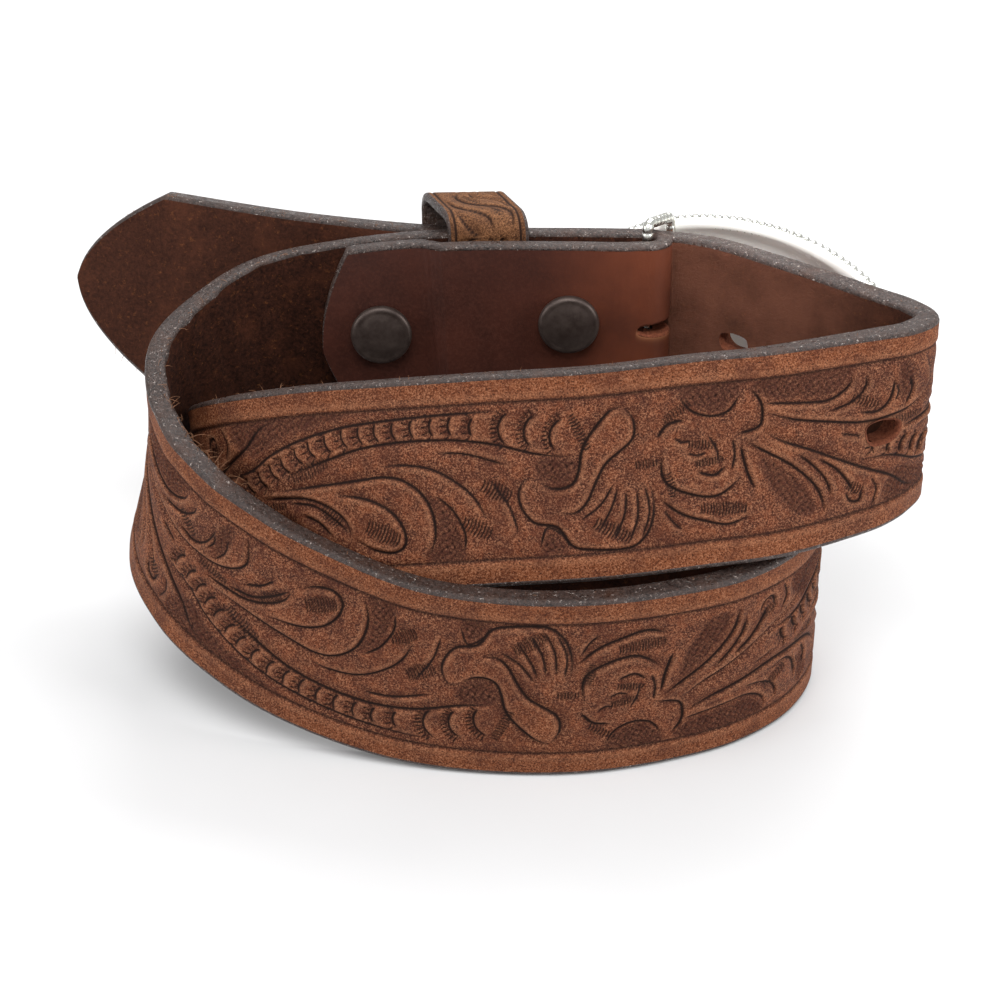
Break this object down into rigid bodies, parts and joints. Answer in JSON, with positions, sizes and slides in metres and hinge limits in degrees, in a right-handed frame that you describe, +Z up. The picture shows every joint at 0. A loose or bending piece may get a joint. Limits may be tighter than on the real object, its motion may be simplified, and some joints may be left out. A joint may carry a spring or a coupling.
{
  "type": "western tooled leather belt",
  "caption": "Western leather belt with floral tooling, coiled in stacked turns and fastened with a domed oval plate buckle, a tooled keeper and a pointed free end.",
  "frame": {"origin": "on the surface the coil rests on, under the middle of the whole belt's box", "axes": "+Z up across the strap's width, +X along the coil, -Y to the front of the coil, where the lower turn lies"},
  "size_m": [0.1604, 0.0864, 0.0809],
  "materials": {
    "tooled_leather": "warm brown, tooled, waxed and rubbed",
    "keeper_leather": "lighter brown, tooled",
    "dark_steel": "dark gunmetal, brushed",
    "bright_plate": "bright plated metal"
  },
  "bodies": {
    "root": {"strap": "tooled_leather", "keeper": "keeper_leather", "snap_cap_1": "dark_steel", "snap_post_1": "dark_steel", "snap_cap_2": "dark_steel", "snap_post_2": "dark_steel", "buckle_plate": "bright_plate", "buckle_bail": "bright_plate"}
  },
  "joints": []
}
